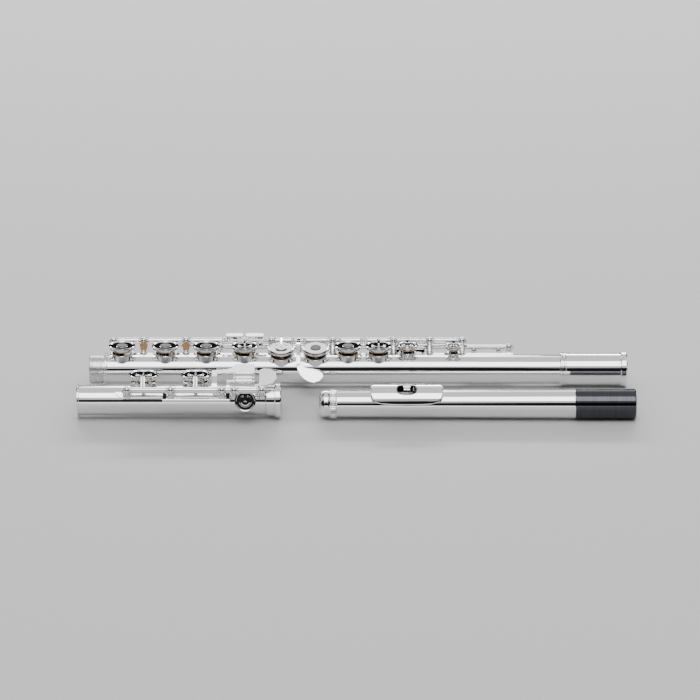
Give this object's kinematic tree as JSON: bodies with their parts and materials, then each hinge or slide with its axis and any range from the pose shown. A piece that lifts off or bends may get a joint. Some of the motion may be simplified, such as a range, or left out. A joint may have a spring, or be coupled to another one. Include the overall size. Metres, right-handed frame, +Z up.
{
  "type": "concert flute",
  "caption": "Silver-plated transverse flute with a C foot, taken apart into body, head and foot joints that lie side by side, with sprung open-hole keywork.",
  "frame": {"origin": "centre of the bounding box on the floor", "axes": "+X along all tubes towards the head end, +Y to the rear (player's side of the body joint), +Z up"},
  "size_m": [0.3724, 0.0962, 0.0333],
  "materials": {
    "silver": "polished silver plate",
    "steel": "plain",
    "pads": "matte skin over felt",
    "plugs": "matte",
    "cork": "matte cork"
  },
  "bodies": {
    "body_joint": {"body_tube": "silver", "barrel": "silver", "rib_main": "silver", "rib_upper": "silver", "rib_thumb": "silver", "steel_lower": "steel", "steel_upper": "steel", "steel_thumb": "steel", "cork_bumpers": "cork"},
    "head_joint": {"head_tube": "silver", "lip_plate": "silver", "riser": "silver", "stopper_cork": "cork"},
    "crown_screw": {"crown": "silver", "stopper_screw": "silver"},
    "foot_joint": {"foot_tube": "silver", "rib_foot": "silver", "steel_foot": "steel"},
    "key_d": {"key_d": "silver", "pad_d": "pads", "plug_d": "plugs"},
    "key_e": {"key_e": "silver", "pad_e": "pads", "plug_e": "plugs"},
    "key_f": {"key_f": "silver", "pad_f": "pads", "plug_f": "plugs"},
    "key_f_sharp": {"key_f_sharp": "silver", "pad_f_sharp": "pads"},
    "key_g_lower": {"key_g_lower": "silver", "pad_g_lower": "pads"},
    "key_g_upper": {"key_g_upper": "silver", "pad_g_upper": "pads", "plug_g_upper": "plugs"},
    "key_a": {"key_a": "silver", "pad_a": "pads", "plug_a": "plugs"},
    "key_b_flat": {"key_b_flat": "silver", "pad_b_flat": "pads"},
    "key_small_c": {"key_small_c": "silver", "pad_small_c": "pads"},
    "key_g_sharp": {"key_g_sharp": "silver", "pad_g_sharp": "pads"},
    "key_d_trill": {"key_d_trill": "silver", "pad_d_trill": "pads"},
    "key_d_sharp_trill": {"key_d_sharp_trill": "silver", "pad_d_sharp_trill": "pads"},
    "key_thumb_b": {"key_thumb_b": "silver", "pad_thumb_b": "pads"},
    "lever_thumb_b_flat": {"lever_thumb_b_flat": "silver"},
    "key_low_c": {"key_low_c": "silver", "pad_low_c": "pads"},
    "key_low_c_sharp": {"key_low_c_sharp": "silver", "pad_low_c_sharp": "pads"},
    "key_low_d_sharp": {"key_low_d_sharp": "silver", "pad_low_d_sharp": "pads"},
    "roller_c": {"roller_c": "silver"},
    "roller_c_sharp": {"roller_c_sharp": "silver"}
  },
  "joints": [
    {"name": "d_key_hinge", "type": "hinge", "parent": "body_joint", "child": "key_d", "pos_m": [-0.1583, 0.03492, 0.0268], "axis": [1, 0, 0], "range_deg": [0, 5], "stiffness_Nm_per_rad": 0.01, "springref_deg": -17.19},
    {"name": "e_key_hinge", "type": "hinge", "parent": "body_joint", "child": "key_e", "pos_m": [-0.129, 0.03492, 0.0268], "axis": [1, 0, 0], "range_deg": [0, 5], "stiffness_Nm_per_rad": 0.01, "springref_deg": -17.19},
    {"name": "f_key_hinge", "type": "hinge", "parent": "body_joint", "child": "key_f", "pos_m": [-0.1014, 0.03492, 0.0268], "axis": [1, 0, 0], "range_deg": [0, 5], "stiffness_Nm_per_rad": 0.01, "springref_deg": -17.19},
    {"name": "f_sharp_key_hinge", "type": "hinge", "parent": "body_joint", "child": "key_f_sharp", "pos_m": [-0.0753, 0.03492, 0.0268], "axis": [1, 0, 0], "range_deg": [0, 5], "stiffness_Nm_per_rad": 0.01, "springref_deg": -17.19},
    {"name": "g_lower_key_hinge", "type": "hinge", "parent": "body_joint", "child": "key_g_lower", "pos_m": [-0.0507, 0.03492, 0.0268], "axis": [1, 0, 0], "range_deg": [0, 5], "stiffness_Nm_per_rad": 0.01, "springref_deg": -17.19},
    {"name": "g_upper_key_hinge", "type": "hinge", "parent": "body_joint", "child": "key_g_upper", "pos_m": [-0.0275, 0.03492, 0.0268], "axis": [1, 0, 0], "range_deg": [0, 5], "stiffness_Nm_per_rad": 0.01, "springref_deg": -17.19},
    {"name": "a_key_hinge", "type": "hinge", "parent": "body_joint", "child": "key_a", "pos_m": [-0.0056, 0.03492, 0.0268], "axis": [1, 0, 0], "range_deg": [0, 5], "stiffness_Nm_per_rad": 0.01, "springref_deg": -17.19},
    {"name": "b_flat_key_hinge", "type": "hinge", "parent": "body_joint", "child": "key_b_flat", "pos_m": [0.0151, 0.03492, 0.0268], "axis": [1, 0, 0], "range_deg": [0, 5], "stiffness_Nm_per_rad": 0.01, "springref_deg": -17.19},
    {"name": "small_c_key_hinge", "type": "hinge", "parent": "body_joint", "child": "key_small_c", "pos_m": [0.0657, 0.03492, 0.0268], "axis": [1, 0, 0], "range_deg": [0, 5], "stiffness_Nm_per_rad": 0.01, "springref_deg": -17.19},
    {"name": "g_sharp_key_hinge", "type": "hinge", "parent": "body_joint", "child": "key_g_sharp", "pos_m": [-0.0391, 0.03492, 0.0268], "axis": [1, 0, 0], "range_deg": [0, 5], "stiffness_Nm_per_rad": 0.01, "springref_deg": -17.19},
    {"name": "d_trill_key_hinge", "type": "hinge", "parent": "body_joint", "child": "key_d_trill", "pos_m": [0.0037, 0.03712, 0.0213], "axis": [1, 0, 0], "range_deg": [0, 5], "stiffness_Nm_per_rad": 0.01, "springref_deg": -17.19},
    {"name": "d_sharp_trill_key_hinge", "type": "hinge", "parent": "body_joint", "child": "key_d_sharp_trill", "pos_m": [0.0037, 0.03712, 0.0213], "axis": [1, 0, 0], "range_deg": [0, 5], "stiffness_Nm_per_rad": 0.01, "springref_deg": -17.19},
    {"name": "thumb_b_key_hinge", "type": "hinge", "parent": "body_joint", "child": "key_thumb_b", "pos_m": [0.0317, 0.03472, 0.0134], "axis": [1, 0, 0], "range_deg": [0, 4], "stiffness_Nm_per_rad": 0.01, "springref_deg": -17.19},
    {"name": "thumb_b_flat_lever_hinge", "type": "hinge", "parent": "body_joint", "child": "lever_thumb_b_flat", "pos_m": [0.0427, 0.03472, 0.0134], "axis": [1, 0, 0], "range_deg": [0, 4], "stiffness_Nm_per_rad": 0.01, "springref_deg": -17.19},
    {"name": "foot_joint_lift", "type": "slide", "parent": "body_joint", "child": "foot_joint", "axis": [0, 0, 1], "range_m": [0, 0.06]},
    {"name": "head_joint_lift", "type": "slide", "parent": "body_joint", "child": "head_joint", "axis": [0, 0, 1], "range_m": [0, 0.06]},
    {"name": "crown_turn", "type": "hinge", "parent": "head_joint", "child": "crown_screw", "pos_m": [-0.0165, -0.0322, 0.01005], "axis": [1, 0, 0], "continuous": true},
    {"name": "low_c_key_hinge", "type": "hinge", "parent": "foot_joint", "child": "key_low_c", "pos_m": [-0.1417, -0.04428, 0.0252], "axis": [-1, 0, 0], "range_deg": [0, 5], "stiffness_Nm_per_rad": 0.01, "springref_deg": -17.19},
    {"name": "low_c_sharp_key_hinge", "type": "hinge", "parent": "foot_joint", "child": "key_low_c_sharp", "pos_m": [-0.1069, -0.04428, 0.0252], "axis": [-1, 0, 0], "range_deg": [0, 5], "stiffness_Nm_per_rad": 0.01, "springref_deg": -17.19},
    {"name": "low_d_sharp_key_hinge", "type": "hinge", "parent": "foot_joint", "child": "key_low_d_sharp", "pos_m": [-0.0737, -0.04428, 0.0252], "axis": [-1, 0, 0], "range_deg": [0, 5], "stiffness_Nm_per_rad": 0.01, "springref_deg": -17.19},
    {"name": "roller_c_spin", "type": "hinge", "parent": "key_low_c", "child": "roller_c", "pos_m": [-0.0747, -0.03714, 0.02843], "axis": [1, 0, 0], "continuous": true},
    {"name": "roller_c_sharp_spin", "type": "hinge", "parent": "key_low_c_sharp", "child": "roller_c_sharp", "pos_m": [-0.0747, -0.0333, 0.02937], "axis": [1, 0, 0], "continuous": true}
  ],
  "couplings": [
    {"joint": "f_sharp_key_hinge", "follows": "f_key_hinge", "ratio": 1},
    {"joint": "b_flat_key_hinge", "follows": "a_key_hinge", "ratio": 1},
    {"joint": "g_lower_key_hinge", "follows": "g_upper_key_hinge", "ratio": 1}
  ]
}
